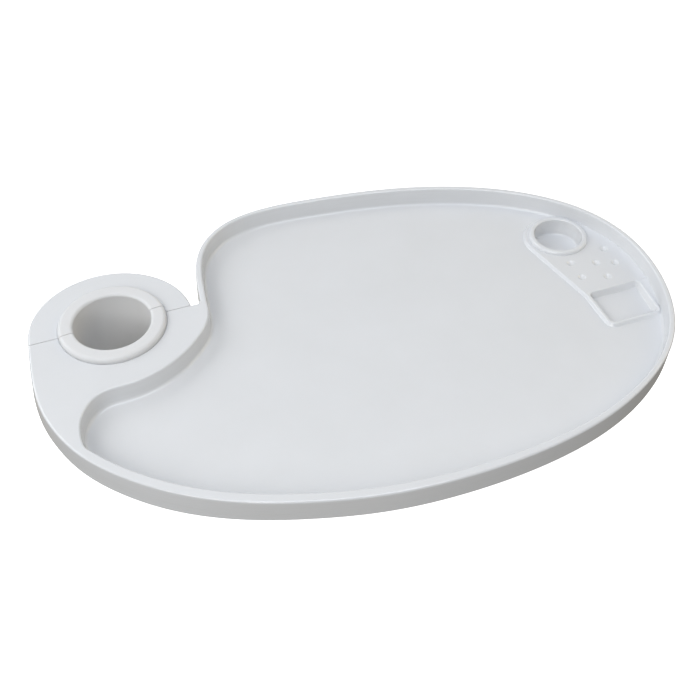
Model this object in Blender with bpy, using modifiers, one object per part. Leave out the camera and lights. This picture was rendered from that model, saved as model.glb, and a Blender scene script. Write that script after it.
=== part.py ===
"""Oval instrument tray that clamps round a post and turns on a split bushing.

Metres, +Z up. The origin is on the post's axis, level with the top of the deck. +X runs along the collar's
parting line to the tray's far end, and +Y to the rear, where the clamp cap sits.
"""

import math

import bmesh
import bpy
import numpy as np

# Post and bushing
post_diameter = 0.0508
bushing_wall = 0.0096
bushing_proud = 0.0036
bushing_shoulder = 0.0028
bushing_edge = 0.0008
bushing_split = 0.0005
bushing_turn = math.radians(4.5)
rib_height = 0.0022
rib_width = 0.006
rib_drop = 0.038

# Collar, its bolted cap and the hub below the deck
swivel_gap = 0.0005
collar_wall = 0.018
collar_edge = 0.0012
hub_depth = 0.050
parting_gap = 0.0005
hub_wall = 0.005
hub_skin = 0.004
hub_roof = 0.006
hub_rib = 0.0035
boss_angle = math.radians(45)

# Screws, washers and inserts of the cap
screw_radius = 0.003
screw_length = 0.025
screw_drop = 0.020
head_radius = 0.005
head_height = 0.006
head_chamfer = 0.0005
socket_across = 0.005
socket_depth = 0.003
screw_clearance = 0.0004
washer_radius = 0.006
washer_thickness = 0.0012
washer_play = 0.0005
cap_seat = 0.0127
insert_radius = 0.004
insert_length = 0.0115
insert_setback = 0.0005
seat_gap = 0.0003

# Tray outline and rim
tray_reach = 0.3675
tray_front = 0.1938
tray_rear = 0.0847
tray_left = 0.0572
notch_width = 0.0075
notch_web = 0.0013
rim_width = 0.0054
notch_wall = 0.003
rim_edge = 0.0018
dish_lip = 0.0012
skirt_flare = 0.0011
skirt_wall = 0.0024
dish_depth = 0.0132
dish_draft = 0.0007
dish_fillet = 0.003
floor_thickness = 0.003
deck_thickness = 0.003
deck_rib = 0.002
channel_roof = 0.005
wall_bite = 0.0006

# Raised platform with its well, dimples and recess
platform_height = 0.0022
platform_slope = 0.0018
platform_margin = 0.0032
well_radius = 0.0174
well_depth = 0.013
well_draft = 0.0006
well_wall = 0.0025
well_from_end = 0.0415
well_forward = 0.012
ring_height = 0.0023
ring_wall = 0.0026
recess_width = 0.037
recess_length = 0.0305
recess_depth = 0.005
recess_draft = 0.0012
recess_corner = 0.003
recess_forward = 0.0893
recess_from_end = 0.0325
recess_lip = 0.0025
dimple_radius = 0.0031
dimple_depth = 0.0012
dimple_pitch = 0.016
dimple_forward = 0.0493

# Cutters run past the faces they cut by this much
overrun = 0.002

# Smoothness of the curves
outline_points = 132
wall_points = 40
wall_refinement = 4
line_refinement = 20
turned_steps = 64
pocket_steps = 8
small_steps = 24
dimple_steps = 12
corner_steps = 3
hexagon_sides = 6
crease_angle = math.radians(45)
merge_distance = 0.00001

# Worked out from the sizes above
post_radius = post_diameter / 2
bushing_radius = post_radius + bushing_wall
collar_bore = bushing_radius + swivel_gap
collar_radius = collar_bore + collar_wall
screw_offset = collar_bore + collar_wall / 2
skirt_height = dish_depth + floor_thickness
platform_top = platform_height - dish_depth
well_x = tray_reach - well_from_end
ring_top = platform_top + ring_height
recess_x = tray_reach - recess_from_end

# The tray's edge from the collar round the front, far end and rear to the notch, as shares of its reaches
OUTLINE_SHARES = (
    (-0.995, -0.155), (-0.975, -0.300), (-0.875, -0.407), (-0.709, -0.510), (-0.29, -0.658), (0.095, -0.844),
    (0.207, -0.926), (0.324, -0.979), (0.450, -1.0), (0.584, -0.991), (0.724, -0.938), (0.840, -0.838),
    (0.924, -0.710), (0.975, -0.560), (1.0, -0.352), (0.994, -0.180), (0.960, -0.015), (0.883, 0.335),
    (0.770, 0.627), (0.610, 0.859), (0.435, 0.985), (0.345, 0.998), (0.262, 0.905), (0.205, 0.675),
    (0.180, 0.402), (0.169, 0.120),
)

# The wall between deck and dish: round the collar in shares of its radius, then towards the front rim
COLLAR_WALL_SHARES = ((1.157, -0.135), (1.101, -0.318), (0.903, -0.579), (0.551, -0.854), (0.247, -0.978),
                      (-0.036, -1.026))
TIP_WALL_SHARES = ((0.285, 0.0), (0.592, 0.078), (0.838, 0.285), (0.973, 0.521), (1.015, 0.733))

# Places along the tray's edge, as shares of its length
deck_end_share = 0.100
channel_shares = (0.13, 0.86)
narrow_share = 0.91

# Columns of two dimples: across in shares of the recess width, along in shares of their pitch
DIMPLE_COLUMN_SHARES = ((-0.40, 0.0), (0.07, -0.36), (0.42, 0.35))
DIMPLE_ROW_SHARES = (0.5, -0.5)
dimple_floor_share = 0.5
recess_front_share = 0.97
edge_shares = ((1.0, 0.0), (0.3, 0.3), (0.0, 1.0))
shoulder_angles = tuple(math.radians(a) for a in (0, 30, 60, 90))
deck_rib_angles = tuple(math.radians(a) for a in (206, 228))
platform_arc_angles = tuple(math.radians(a) for a in (130, 148, 166, 184, 195))

# Colours, linear, and roughness of the finishes
plastic_color = (0.73, 0.74, 0.76, 1.0)
bushing_color = (0.70, 0.71, 0.73, 1.0)
steel_color = (0.55, 0.56, 0.58, 1.0)
brass_color = (0.70, 0.50, 0.22, 1.0)
satin_roughness = 0.35
bearing_roughness = 0.4


def material(name, color, roughness, metallic):
    """One Principled material."""
    mat = bpy.data.materials.new(name)
    mat.use_nodes = True
    shader = mat.node_tree.nodes["Principled BSDF"]
    shader.inputs["Base Color"].default_value = color
    shader.inputs["Roughness"].default_value = roughness
    shader.inputs["Metallic"].default_value = metallic
    return mat


def collection(name):
    """A new collection in the scene."""
    made = bpy.data.collections.new(name)
    bpy.context.scene.collection.children.link(made)
    return made


def place(mesh, name, group):
    """Give a mesh an object in a collection; cutters show as wires and don't render."""
    obj = bpy.data.objects.new(name, mesh)
    group.objects.link(obj)
    if group is cutters:
        obj.hide_render = True
        obj.display_type = "WIRE"
    return obj


def loft(name, rings, group):
    """A closed solid through rings of as many points each, with both ends capped."""
    bm = bmesh.new()
    rows = [[bm.verts.new(tuple(point)) for point in ring] for ring in rings]
    for upper, lower in zip(rows, rows[1:]):
        for i, vert in enumerate(upper):
            j = (i + 1) % len(upper)
            bm.faces.new((vert, upper[j], lower[j], lower[i]))
    bm.faces.new(rows[0])
    bm.faces.new(rows[-1])
    bmesh.ops.recalc_face_normals(bm, faces=bm.faces)
    mesh = bpy.data.meshes.new(name)
    bm.to_mesh(mesh)
    bm.free()
    return place(mesh, name, group)


def turned(name, profile, steps, group):
    """A profile of (radius, height) points, turned about Z. It runs down its outer side, top to bottom."""
    count = len(profile)
    edges = [(i, i + 1) for i in range(count - 1)]
    if min(radius for radius, _ in profile) > 0:
        edges.append((count - 1, 0))
    mesh = bpy.data.meshes.new(name)
    mesh.from_pydata([(radius, 0, height) for radius, height in profile], edges, [])
    obj = place(mesh, name, group)
    screw = obj.modifiers.new("turn", "SCREW")
    screw.axis = "Z"
    screw.steps = steps
    screw.render_steps = steps
    screw.use_merge_vertices = True
    screw.merge_threshold = merge_distance
    return obj


def cylinder(name, radius, low, high, steps, group):
    """A cylinder about Z between two heights."""
    return turned(name, ((0, high), (radius, high), (radius, low), (0, low)), steps, group)


def box(name, low, high, group):
    """A box between two corners."""
    bm = bmesh.new()
    bmesh.ops.create_cube(bm, size=1)
    for vert in bm.verts:
        for axis in range(3):
            vert.co[axis] = high[axis] if vert.co[axis] > 0 else low[axis]
    mesh = bpy.data.meshes.new(name)
    bm.to_mesh(mesh)
    bm.free()
    return place(mesh, name, group)


def combine(obj, operation, others):
    """Add a Boolean modifier for each of the other objects."""
    for other in others:
        step = obj.modifiers.new(other.name, "BOOLEAN")
        step.operation = operation
        step.solver = "EXACT"
        step.object = other


def smooth_round(obj):
    """Shade the curved faces smooth and keep the corners sharp."""
    obj.data.shade_smooth()
    obj.data.set_sharp_from_angle(angle=crease_angle)


def spline(points, count):
    """Points spread evenly along a natural cubic spline through the given points."""
    points = np.asarray(points, float)
    knots = np.concatenate(([0.0], np.cumsum(np.linalg.norm(np.diff(points, axis=0), axis=1))))
    gaps = np.diff(knots)
    size = len(points)
    system = np.eye(size)
    target = np.zeros((size, 2))
    for i in range(1, size - 1):
        system[i, i - 1:i + 2] = gaps[i - 1], 2 * (gaps[i - 1] + gaps[i]), gaps[i]
        slope_after = (points[i + 1] - points[i]) / gaps[i]
        slope_before = (points[i] - points[i - 1]) / gaps[i - 1]
        target[i] = 6 * (slope_after - slope_before)
    bend = np.linalg.solve(system, target)

    def at(where):
        span = np.clip(np.searchsorted(knots, where) - 1, 0, size - 2)
        gap = gaps[span][:, None]
        after = (knots[span + 1] - where)[:, None]
        before = (where - knots[span])[:, None]
        cubic = (bend[span] * after ** 3 + bend[span + 1] * before ** 3) / (6 * gap)
        from_start = (points[span] / gap - bend[span] * gap / 6) * after
        from_end = (points[span + 1] / gap - bend[span + 1] * gap / 6) * before
        return cubic + from_start + from_end

    fine = np.linspace(0, knots[-1], line_refinement * count)
    run = np.concatenate(([0.0], np.cumsum(np.linalg.norm(np.diff(at(fine), axis=0), axis=1))))
    return at(np.interp(np.linspace(0, run[-1], count), run, fine))


def normals(points, closed):
    """Unit normals that point out of a line of points which runs anticlockwise."""
    if closed:
        along = np.roll(points, -1, axis=0) - np.roll(points, 1, axis=0)
    else:
        along = np.gradient(points, axis=0)
    across = np.stack((along[:, 1], -along[:, 0]), axis=1)
    return across / np.linalg.norm(across, axis=1)[:, None]


def level(points, height):
    """Plan points as 3-D points at one height."""
    return np.column_stack((points, np.full(len(points), height)))


def polar(radius, angle):
    """A plan point from its distance and direction from the post's axis."""
    return radius * math.cos(angle), radius * math.sin(angle)


def tray_edge():
    """The rim's outer edge and its normals. Both ends run just past the collar's parting face."""
    points = [(-collar_radius, overrun)]
    for x_share, y_share in OUTLINE_SHARES:
        x = x_share * (tray_reach if x_share > 0 else tray_left)
        y = y_share * (tray_rear if y_share > 0 else tray_front)
        points.append((x, y))
    points.append((collar_radius + notch_width, overrun))
    edge = spline(points, outline_points)
    out = normals(edge, False)
    out[0] = out[-1] = (-1, 0)
    return edge, out


def rim_widths():
    """The rim's width along the tray's edge: even, then narrower towards the notch."""
    shares = np.linspace(0, 1, outline_points)
    stops = (0, channel_shares[1], narrow_share, 1)
    return np.interp(shares, stops, (rim_width, rim_width, notch_wall, notch_wall))[:, None]


def dish_edge():
    """The dish's top edge: the rim's inner edge, then the wall round the collar back to the front rim."""
    first = round(deck_end_share * (outline_points - 1))
    rim = (edge - edge_out * rim_widths())[first:]
    collar = [(x * collar_radius, y * collar_radius) for x, y in COLLAR_WALL_SHARES]
    start = np.array(collar[-1])
    tip = [tuple(start + (rim[0] - start) * share) for share in TIP_WALL_SHARES]
    lead = [tuple(rim[-3]), tuple(rim[-1])]
    line = spline(lead + collar + tip + [tuple(rim[0]), tuple(rim[2])], wall_points * wall_refinement)
    from_rim = np.argmin(np.linalg.norm(line - rim[-1], axis=1))
    to_rim = np.argmin(np.linalg.norm(line - rim[0], axis=1))
    picks = np.linspace(from_rim, to_rim, wall_points + 1).round().astype(int)[1:-1]
    return np.concatenate((rim, line[picks]))


def tray_shell():
    """The tray's outside, solid: rounded rim edge and a skirt that flares to its foot."""
    rounding = np.minimum(rim_edge, rim_widths() - dish_lip)
    rings = []
    for inset, drop in edge_shares:
        rings.append(np.column_stack((edge - edge_out * rounding * inset, -rounding * drop)))
    rings.append(level(edge + edge_out * skirt_flare, -skirt_height))
    return loft("tray_body", rings, parts)


def dish_cutter():
    """The dish: rounded top edge, drafted wall, fillet at the foot and flat floor."""
    rings = [level(dish + dish_out * dish_lip, overrun)]
    rings += [level(dish + dish_out * dish_lip * inset, -dish_lip * drop) for inset, drop in edge_shares]
    for rise, inset in edge_shares:
        offset = dish_draft + dish_fillet * inset
        rings.append(level(dish - dish_out * offset, -dish_depth + dish_fillet * rise))
    return loft("dish_space", rings, cutters)


def rear_half(name, turn, gap):
    """A block over everything behind a vertical plane that passes the post's axis at half a gap."""
    left = -collar_radius - overrun
    right = collar_radius + notch_width - notch_web
    low = -hub_depth - overrun
    high = (right, collar_radius + overrun, bushing_proud + overrun)
    block = box(name, (left, -gap / 2, low), high, cutters)
    block.rotation_euler.z = turn
    return block


def collar_opening():
    """The space for the bushing, right through the collar, with the groove that holds the bushing's rib."""
    groove_top = -rib_drop + rib_width / 2 + seat_gap
    groove_bottom = -rib_drop - rib_width / 2 - seat_gap
    groove = bushing_radius + rib_height + swivel_gap
    bottom = -hub_depth - overrun
    profile = ((0, overrun), (collar_bore, overrun), (collar_bore, groove_top), (groove, groove_top),
               (groove, groove_bottom), (collar_bore, groove_bottom), (collar_bore, bottom), (0, bottom))
    return turned("collar_opening", profile, turned_steps, cutters)


def hub_pocket(name, first, last):
    """A hollow in the hub, open below, between two directions from the post's axis."""
    angles = np.linspace(first, last, pocket_steps + 1)
    inner = [polar(collar_bore + hub_wall, a) for a in angles]
    outer = [polar(collar_radius - hub_skin, a) for a in angles[::-1]]
    outline = np.array(inner + outer)
    return loft(name, [level(outline, -hub_roof), level(outline, -hub_depth - overrun)], cutters)


def hub_pockets(name, middle):
    """The two hollows of one half of the hub, either side of its middle rib."""
    half_rib = hub_rib / (2 * collar_radius)
    return [
        hub_pocket(name + "_a", middle - boss_angle, middle - half_rib),
        hub_pocket(name + "_b", middle + half_rib, middle + boss_angle),
    ]


def along_y(obj, x, y):
    """Lay an object made about Z along Y, its top to the rear, on a screw's axis."""
    obj.rotation_euler.x = -math.pi / 2
    obj.location = (x, y, -screw_drop)
    return obj


def deck_pocket():
    """The hollow below the deck, between hub, skirt and dish wall, crossed by ribs."""
    foot = -skirt_height - overrun
    inside = edge - edge_out * skirt_wall
    pocket = loft("deck_pocket", [level(inside, -deck_thickness), level(inside, foot)], cutters)
    outside = dish + dish_out * (rim_width - skirt_wall + seat_gap)
    wall = loft("deck_pocket_wall", [level(outside, overrun), level(outside, foot - overrun)], cutters)
    radius = collar_radius - overrun
    hub = cylinder("deck_pocket_hub", radius, foot - overrun, overrun, turned_steps, cutters)
    reach = tray_front
    low = (-reach, -skirt_wall, foot - overrun)
    back = box("deck_pocket_back", low, (reach, reach, overrun), cutters)
    ribs = []
    for i, angle in enumerate(deck_rib_angles):
        low = (collar_bore, -deck_rib / 2, foot - overrun)
        rib = box(f"deck_rib_{i}", low, (reach, deck_rib / 2, overrun), cutters)
        rib.rotation_euler.z = angle
        ribs.append(rib)
    combine(pocket, "DIFFERENCE", [wall, hub, back] + ribs)
    return pocket


def rim_channel():
    """The V-shaped channel in the rim's underside that keeps its walls even."""
    first, last = (round(share * (outline_points - 1)) for share in channel_shares)
    bottom = -skirt_height - overrun
    low_outer = level(edge + edge_out * (skirt_flare - skirt_wall), bottom)
    low_inner = level(edge - edge_out * (rim_width + dish_draft - skirt_wall), bottom)
    apex = level(edge - edge_out * rim_width / 2, -channel_roof)
    sections = [np.array(section) for section in zip(low_outer, low_inner, apex)]
    return loft("rim_channel", sections[first:last], cutters)


def platform():
    """The raised platform: its edge rounds the well, runs to the recess and fades at the far rim."""
    half = recess_width / 2
    rear = recess_length / 2 - recess_forward
    front = -recess_length / 2 - recess_forward
    margin = well_radius + ring_wall + platform_margin
    middle = np.array((well_x, -well_forward))
    arc = [tuple(middle + polar(margin, a)) for a in platform_arc_angles]
    left = [(recess_x - half - recess_lip, rear), (recess_x - half - recess_lip, front - recess_lip)]
    right = [(recess_x + half * recess_front_share + recess_lip, front - recess_lip)]
    right.append((recess_x + half + recess_lip, rear))
    wall = edge - edge_out * (rim_width - wall_bite)
    beyond = wall[(wall[:, 0] > arc[0][0]) & (wall[:, 1] > rear)]
    outline = np.array(arc + left + right + [tuple(point) for point in beyond])
    out = normals(outline, True)
    base = outline + out * platform_slope
    buried = -dish_depth - floor_thickness / 2
    return loft("platform", [level(outline, platform_top), level(base, buried)], cutters)


def ramp():
    """The slope that leads from the platform down to the dish floor, right of the recess."""
    rear = recess_length / 2 - recess_forward + platform_slope
    front = -recess_length / 2 - recess_forward - recess_lip
    base = -dish_depth - floor_thickness / 2
    near_rear = recess_x + recess_width / 2
    near_front = recess_x + recess_width * recess_front_share / 2
    wall = edge - edge_out * (rim_width - wall_bite)
    right = wall[(wall[:, 0] > recess_x) & (wall[:, 1] < rear + overrun) & (wall[:, 1] > front)]
    sides = []
    for x_rear, x_front in ((near_rear, near_front), (right[-1][0], right[0][0])):
        rear_side = [(x_rear, rear, base), (x_rear, rear, platform_top)]
        front_side = [(x_front, front, -dish_depth), (x_front, front, base)]
        sides.append(np.array(rear_side + front_side))
    return loft("ramp", sides, cutters)


def recess_outline(grow):
    """The recess's rounded outline, grown on every side. Its far side slants with the rim."""
    radius = recess_corner + grow
    rear = recess_length / 2 - recess_forward
    front = -recess_length / 2 - recess_forward
    left = recess_x - recess_width / 2
    right = recess_x + recess_width / 2
    right_front = recess_x + recess_width * recess_front_share / 2
    corners = ((right, rear, 0), (left, rear, 1), (left, front, 2), (right_front, front, 3))
    points = []
    for x, y, quarter in corners:
        inward = ((-1, -1), (1, -1), (1, 1), (-1, 1))[quarter]
        centre = (x + inward[0] * recess_corner, y + inward[1] * recess_corner)
        for step in range(corner_steps + 1):
            dx, dy = polar(radius, (quarter + step / corner_steps) * math.pi / 2)
            points.append((centre[0] + dx, centre[1] + dy))
    return np.array(points)


def recess_tub():
    """The recess's walls and floor below the tray."""
    outline = recess_outline(recess_lip)
    floor = platform_top - recess_depth - well_wall
    return loft("recess_tub", [level(outline, -dish_depth), level(outline, floor)], cutters)


def recess_space():
    """The recess itself, its walls leaning in towards the floor."""
    top = recess_outline(0)
    foot = recess_outline(-recess_draft)
    rings = [level(top, platform_top + overrun), level(top, platform_top)]
    rings.append(level(foot, platform_top - recess_depth))
    return loft("recess_space", rings, cutters)


def well_wall_ring():
    """The round well's raised lip and its cup below the tray, solid."""
    radius = well_radius + ring_wall
    bottom = ring_top - well_depth - well_wall
    edge_size = ring_wall / 2
    profile = [(0, ring_top)]
    profile += [(radius - edge_size * inset, ring_top - edge_size * drop) for inset, drop in edge_shares]
    profile += [(radius, bottom), (0, bottom)]
    cup = turned("well_cup", profile, turned_steps, cutters)
    cup.location = (well_x, -well_forward, 0)
    return cup


def well_space():
    """The well's inside."""
    floor = ring_top - well_depth
    profile = ((0, ring_top + overrun), (well_radius, ring_top + overrun), (well_radius, ring_top),
               (well_radius - well_draft, floor), (0, floor))
    space = turned("well_space", profile, turned_steps, cutters)
    space.location = (well_x, -well_forward, 0)
    return space


def dimples():
    """Six shallow cups in three columns of two."""
    made = []
    for across, along in DIMPLE_COLUMN_SHARES:
        for row in DIMPLE_ROW_SHARES:
            x = recess_x + across * recess_width
            y = -dimple_forward + (along + row) * dimple_pitch
            profile = ((0, overrun), (dimple_radius, overrun), (dimple_radius, 0),
                       (dimple_radius * dimple_floor_share, -dimple_depth), (0, -dimple_depth))
            cup = turned(f"dimple_{len(made)}", profile, dimple_steps, cutters)
            cup.location = (x, y, platform_top)
            made.append(cup)
    return made


def insert_holes():
    """The holes in the hub for the threaded inserts, with room for the screws' tips."""
    made = []
    depth = insert_setback + insert_length + seat_gap
    for name, side in (("left", -1), ("right", 1)):
        radius = insert_radius + seat_gap
        hole = cylinder("insert_hole_" + name, radius, -depth, overrun, small_steps, cutters)
        made.append(along_y(hole, side * screw_offset, 0))
    return made


def tray_body():
    """The moulded tray: dish, rim, deck and platform, with the front half of the collar and hub."""
    body = tray_shell()
    hub = cylinder("hub_front", collar_radius, -hub_depth, -deck_thickness / 2, turned_steps, cutters)
    behind = rear_half("behind_parting", 0, parting_gap)
    combine(body, "DIFFERENCE", [dish_cutter(), deck_pocket(), rim_channel()])
    combine(body, "UNION", [hub, platform(), ramp(), recess_tub(), well_wall_ring()])
    combine(body, "DIFFERENCE", [behind, opening, well_space(), recess_space()] + dimples())
    combine(body, "DIFFERENCE", hub_pockets("hub_pocket", -math.pi / 2) + insert_holes())
    return body


def clamp_cap():
    """The rear half of the collar, bored for two screws from behind."""
    profile = [(0, 0)]
    profile += [(collar_radius - collar_edge * inset, -collar_edge * drop) for inset, drop in edge_shares]
    profile += [(collar_radius, -hub_depth), (0, -hub_depth)]
    cap = turned("clamp_cap", profile, turned_steps, parts)
    ahead = rear_half("ahead_of_parting", math.pi, parting_gap)
    holes = []
    for name, side in (("left", -1), ("right", 1)):
        radius = screw_radius + screw_clearance
        through = cylinder("cap_hole_" + name, radius, -overrun, collar_radius, small_steps, cutters)
        holes.append(along_y(through, side * screw_offset, 0))
        radius = washer_radius + washer_play
        wide = cylinder("cap_bore_" + name, radius, 0, collar_radius, small_steps, cutters)
        holes.append(along_y(wide, side * screw_offset, cap_seat))
    combine(cap, "DIFFERENCE", [ahead, opening] + holes + hub_pockets("cap_pocket", math.pi / 2))
    return cap


def bushing_half(name, turn):
    """Half of the sleeve round the post: rounded shoulder above the deck and a rib in the groove."""
    top = bushing_proud
    rib = bushing_radius + rib_height
    shoulder = bushing_radius - bushing_shoulder
    profile = [(shoulder + bushing_shoulder * math.sin(a), top - bushing_shoulder * (1 - math.cos(a)))
               for a in shoulder_angles]
    profile += [(bushing_radius, -rib_drop + rib_width / 2), (rib, -rib_drop + rib_width / 2)]
    profile += [(rib, -rib_drop - rib_width / 2), (bushing_radius, -rib_drop - rib_width / 2)]
    profile += [(bushing_radius, -hub_depth), (post_radius, -hub_depth)]
    profile += [(post_radius, top - bushing_edge), (post_radius + bushing_edge, top)]
    half = turned(name, profile, turned_steps, parts)
    combine(half, "DIFFERENCE", [rear_half(name + "_other", turn, bushing_split)])
    return half


def clamp_screw(name, side):
    """A socket-head screw through the cap into its insert."""
    profile = ((0, head_height), (head_radius - head_chamfer, head_height),
               (head_radius, head_height - head_chamfer), (head_radius, 0), (screw_radius, 0),
               (screw_radius, head_chamfer - screw_length), (screw_radius - head_chamfer, -screw_length),
               (0, -screw_length))
    screw = turned(name, profile, small_steps, parts)
    along_y(screw, side * screw_offset, cap_seat + washer_thickness + 2 * seat_gap)
    radius = socket_across / math.sqrt(3)
    socket = cylinder(name + "_socket", radius, head_height - socket_depth, head_height + overrun,
                      hexagon_sides, cutters)
    along_y(socket, side * screw_offset, cap_seat + washer_thickness + 2 * seat_gap)
    combine(screw, "DIFFERENCE", [socket])
    return screw


def ring_along_y(name, inner, outer, low, high, side):
    """A plain ring on a screw's axis, between two distances behind the post's axis."""
    profile = ((outer, high), (outer, low), (inner, low), (inner, high))
    return along_y(turned(name, profile, small_steps, parts), side * screw_offset, 0)


for old in list(bpy.data.objects):
    bpy.data.objects.remove(old, do_unlink=True)

parts = collection("post_mounted_tray")
cutters = collection("cutters")
edge, edge_out = tray_edge()
dish = dish_edge()
dish_out = normals(dish, True)
opening = collar_opening()

plastic = material("moulded_plastic", plastic_color, satin_roughness, 0.0)
bearing = material("bushing_plastic", bushing_color, bearing_roughness, 0.0)
steel = material("zinc_plated_steel", steel_color, satin_roughness, 1.0)
brass = material("insert_brass", brass_color, satin_roughness, 1.0)

swivel = bpy.data.objects.new("tray_swivel", None)
parts.objects.link(swivel)
turning = [(tray_body(), plastic), (clamp_cap(), plastic)]
for label, direction in (("left", -1), ("right", 1)):
    washer_low = cap_seat + seat_gap
    washer_hole = screw_radius + screw_clearance
    insert_high = -parting_gap / 2 - insert_setback
    turning.append((clamp_screw("clamp_screw_" + label, direction), steel))
    turning.append((ring_along_y("washer_" + label, washer_hole, washer_radius, washer_low,
                                 washer_low + washer_thickness, direction), steel))
    turning.append((ring_along_y("insert_" + label, washer_hole, insert_radius, insert_high - insert_length,
                                 insert_high, direction), brass))
for piece, finish in turning:
    piece.parent = swivel
    piece.data.materials.append(finish)
    smooth_round(piece)
for label, turn in (("bushing_front", bushing_turn), ("bushing_rear", bushing_turn + math.pi)):
    piece = bushing_half(label, turn)
    piece.data.materials.append(bearing)
    smooth_round(piece)
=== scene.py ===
"""Oval instrument tray on a split collar, dressed for a still picture.

Every piece is worked out in metres in the frame of the packed model: +Z up the post, the origin on its axis level
with the deck, +X to the tray's far end and +Y to the rear, where the clamp cap sits.
"""

import math

import bmesh
import bpy
import numpy as np
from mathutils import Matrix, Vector


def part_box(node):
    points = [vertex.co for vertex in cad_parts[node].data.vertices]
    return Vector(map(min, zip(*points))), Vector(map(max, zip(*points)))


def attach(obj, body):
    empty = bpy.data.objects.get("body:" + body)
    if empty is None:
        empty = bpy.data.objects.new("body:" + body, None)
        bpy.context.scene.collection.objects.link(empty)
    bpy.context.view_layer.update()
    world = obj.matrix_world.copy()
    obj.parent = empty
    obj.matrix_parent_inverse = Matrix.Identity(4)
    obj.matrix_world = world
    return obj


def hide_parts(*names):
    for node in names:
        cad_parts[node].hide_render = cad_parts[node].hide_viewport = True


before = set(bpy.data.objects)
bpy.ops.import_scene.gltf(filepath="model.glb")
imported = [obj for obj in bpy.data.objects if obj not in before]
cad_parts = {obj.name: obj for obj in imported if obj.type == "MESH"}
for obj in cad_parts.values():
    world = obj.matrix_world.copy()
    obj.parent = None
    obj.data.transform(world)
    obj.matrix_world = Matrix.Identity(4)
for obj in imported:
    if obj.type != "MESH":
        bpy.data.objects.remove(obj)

bl_info = {
    "name": "Instrument Tray",
    "version": (1, 0, 0),
    "blender": (4, 5, 0),
    "location": "View3D > Sidebar > Tray",
    "description": "Builds an oval instrument tray with its clamp, bushing and screws around a packed frame",
    "category": "Object",
}

# Where the frame's bushing starts and ends
BUSHING_LOW, BUSHING_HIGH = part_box("bushing_front")

# The tray's edge from the collar round the front, far end and rear to the notch, as shares of its reaches
OUTLINE_SHARES = (
    (-0.995, -0.155), (-0.975, -0.300), (-0.875, -0.407), (-0.709, -0.510), (-0.29, -0.658), (0.095, -0.844),
    (0.207, -0.926), (0.324, -0.979), (0.450, -1.0), (0.584, -0.991), (0.724, -0.938), (0.840, -0.838),
    (0.924, -0.710), (0.975, -0.560), (1.0, -0.352), (0.994, -0.180), (0.960, -0.015), (0.883, 0.335),
    (0.770, 0.627), (0.610, 0.859), (0.435, 0.985), (0.345, 0.998), (0.262, 0.905), (0.205, 0.675),
    (0.180, 0.402), (0.169, 0.120),
)

# The wall between deck and dish: round the collar in shares of its radius, then towards the front rim
COLLAR_WALL_SHARES = (
    (1.157, -0.135), (1.101, -0.318), (0.903, -0.579), (0.551, -0.854), (0.247, -0.978), (-0.036, -1.026),
)
TIP_WALL_SHARES = ((0.285, 0.0), (0.592, 0.078), (0.838, 0.285), (0.973, 0.521), (1.015, 0.733))

# Columns of two dimples: across in shares of the recess width, along in shares of their pitch
DIMPLE_COLUMN_SHARES = ((-0.40, 0.0), (0.07, -0.36), (0.42, 0.35))

# Along the tray's edge, as shares of its length: how far the edge lies outside that curve, how wide the rim is and
# how far the skirt's foot stands out, all in millimetres
EDGE_SHIFTS = (
    (0, 1.3), (0.02, 0.5), (0.045, -0.1), (0.08, 0.1), (0.12, 0.3), (0.15, 0.6), (0.18, 0.5), (0.24, 0.4), (0.30, 0.8),
    (0.40, 1.1), (0.45, 1.5), (0.48, 1.6), (0.51, 0.9), (0.54, -0.1), (0.57, 0.2), (0.60, 0.9), (0.66, 0.8),
    (0.70, 1.2), (0.76, 1.6), (0.79, 1.4), (0.83, 0.5), (0.92, 0.1), (0.95, 0.9), (0.97, 1.4), (1, 1.4),
)
RIM_WIDTHS = (
    (0, 6.0), (0.32, 6.0), (0.37, 5.4), (0.42, 4.5), (0.48, 3.9), (0.56, 3.9), (0.70, 4.2), (0.86, 4.2), (0.91, 3.6),
    (0.94, 3.7), (0.97, 4.3), (1, 4.3),
)
SKIRT_FLARES = (
    (0, 1.3), (0.03, 1.8), (0.06, 1.0), (0.09, 0.9), (0.12, 1.5), (0.16, 1.8), (0.20, 1.1), (0.30, 0.65), (0.40, 0.45),
    (0.45, 0.2), (0.48, -0.4), (0.53, -0.4), (0.60, 0), (0.80, 0.6), (1, 0.6),
)

# The width that RIM_WIDTHS is drawn for, where on the edge the rim leaves the deck, where the channel below the rim
# starts and ends, and the two corners of its foot in shares of the wall's thickness
DRAWN_RIM_WIDTH, RIM_START = 0.006, 0.1
CHANNEL_SPAN, CHANNEL_FOOT = (0.14, 0.86), (0.36, 0.64)

# The far side of the recess, at the rear and in front, in shares of half its width
RECESS_FAR_SHARES = (1.1, 0.94)

# The platform's top edge, out and down in shares of its radius, and its foot, out in shares of the slope's run and up
# in metres
PLATFORM_EDGE = ((-1.3, 0), (-1, 0), (-0.45, 0.1), (0, 0.42))
PLATFORM_FOOT = ((0.55, 0.0003), (1, -0.0004))

# A dimple's rounded mouth: its width in shares of the radius, and its depth at the radius and at the bowl in shares of
# that width
DIMPLE_MOUTH, MOUTH_DEPTHS = 0.16, (0.12, 0.5)

# The rings of a screw's socket: its size in shares of the whole, and how far above the head's top or its own bottom
SOCKET_TOP_RINGS, SOCKET_BOTTOM_RINGS = ((1.12, 0.0001), (1, -0.0003)), ((1, 0), (0.1, -0.0006))

# How finely things are drawn: points of the coarse lines, distance of the fine ones' points, and steps of the rounds
COARSE_POINTS, COARSE_WALL_POINTS, PATH_STEP = 132, 40, 0.0016
ARC_POINTS, HOLLOW_POINTS, CORNER_POINTS, EASED_POINTS = 40, 17, 9, 400
ROUND_STEPS, TURN_STEPS, SMALL_TURN_STEPS, FINE_TURN_STEPS = 7, 128, 48, 96

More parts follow.
